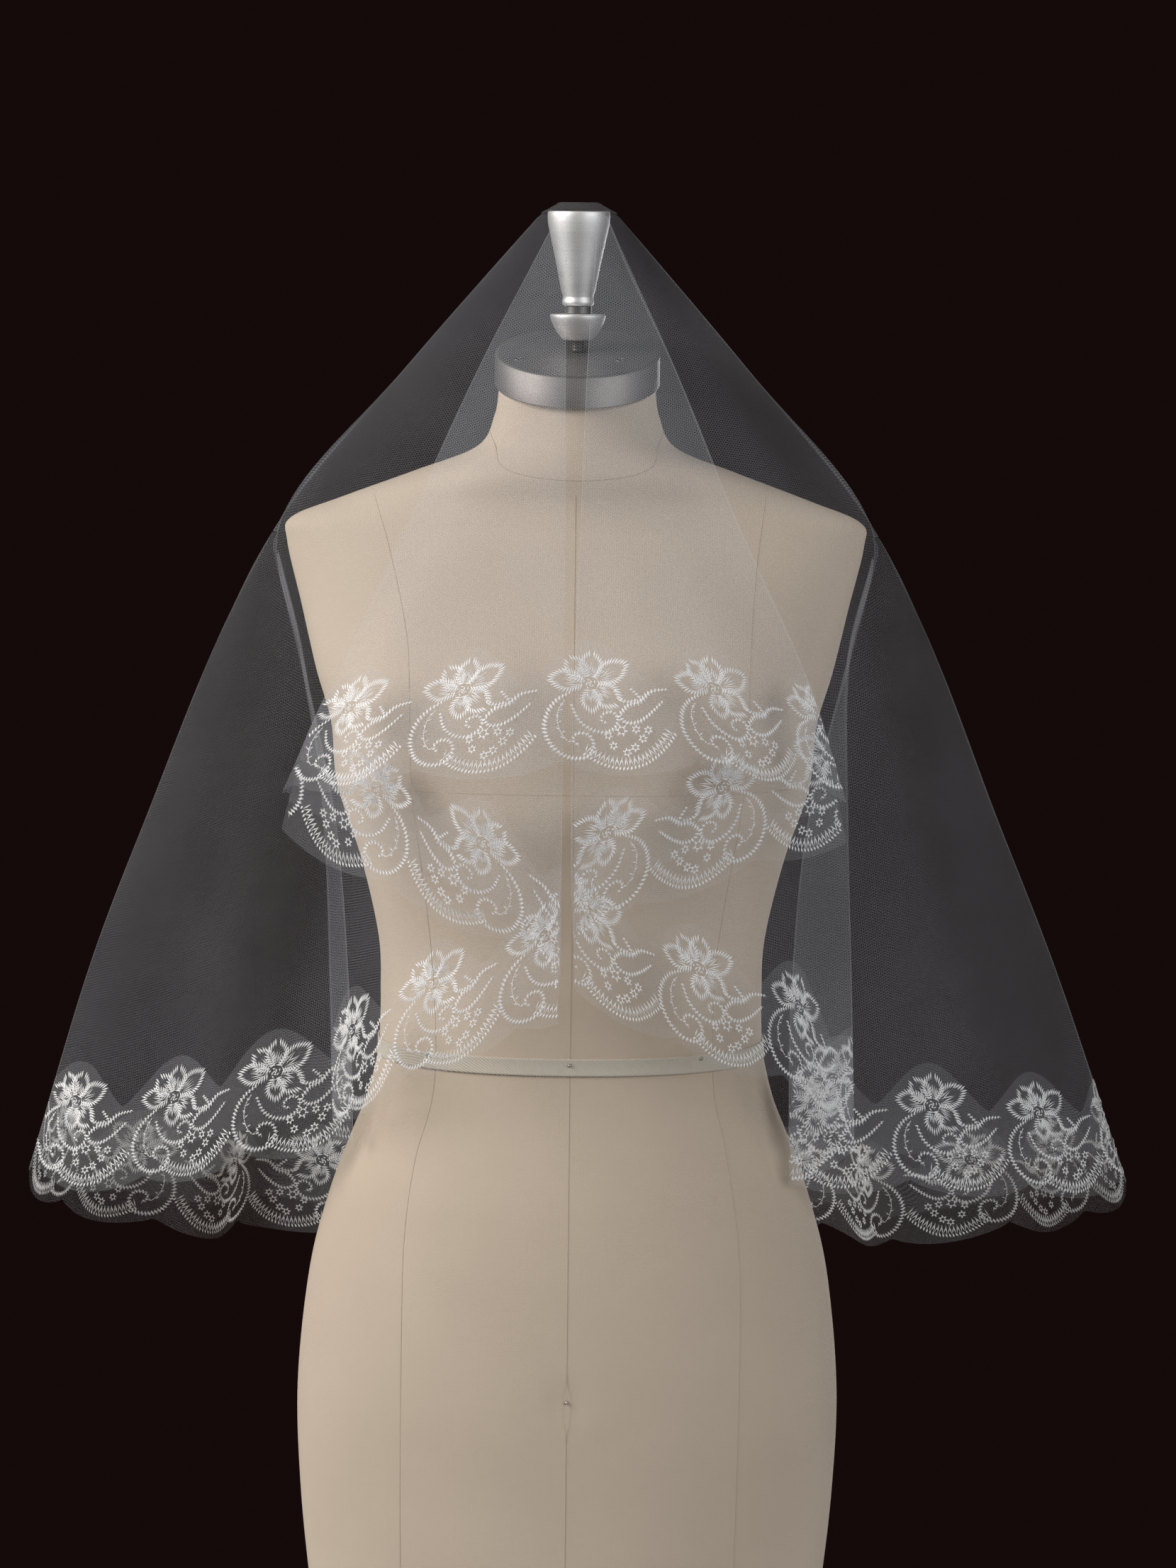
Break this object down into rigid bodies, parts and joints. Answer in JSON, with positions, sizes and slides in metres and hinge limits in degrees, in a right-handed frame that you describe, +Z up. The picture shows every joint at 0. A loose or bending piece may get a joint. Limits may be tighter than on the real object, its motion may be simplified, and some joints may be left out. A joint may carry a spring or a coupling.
{
  "type": "bridal veil on limbless dress form",
  "caption": "Short tulle drop veil with a scalloped floral lace edge, draped over the neck knob and shoulders of a limbless dress form on a round base.",
  "frame": {"origin": "middle of the flat underside of the round base", "axes": "+Z up along the stand to the neck knob, -Y towards the front of the form, +X towards the viewer's right"},
  "size_m": [0.7336, 0.4868, 1.6045],
  "materials": {
    "tulle": "fine soft net",
    "lace": "embroidered net with lustrous thread",
    "form_cover": "plain woven cover",
    "waist_tape": "twill tape",
    "satin_steel": "satin",
    "dark_steel": "dull threaded",
    "stand_paint": "satin paint"
  },
  "bodies": {
    "root": {"veil_crown": "tulle", "front_flap": "tulle", "inner_fold_left": "tulle", "inner_fold_right": "tulle", "lower_front_left": "tulle", "lower_front_right": "tulle", "tuck_left": "tulle", "tuck_right": "tulle", "wing_left": "tulle", "wing_right": "tulle", "back_left": "tulle", "back_right": "tulle", "front_flap_lace": "lace", "inner_fold_left_lace": "lace", "inner_fold_right_lace": "lace", "lower_front_left_lace": "lace", "lower_front_right_lace": "lace", "tuck_left_lace": "lace", "tuck_right_lace": "lace", "wing_left_lace": "lace", "wing_right_lace": "lace", "back_left_lace": "lace", "back_right_lace": "lace", "form_torso": "form_cover", "waist_tape": "waist_tape", "neck_plate": "satin_steel", "bowl_washer": "satin_steel", "neck_knob": "satin_steel", "neck_bolt": "dark_steel", "stand_pole": "stand_paint", "stand_base": "stand_paint"}
  },
  "joints": []
}
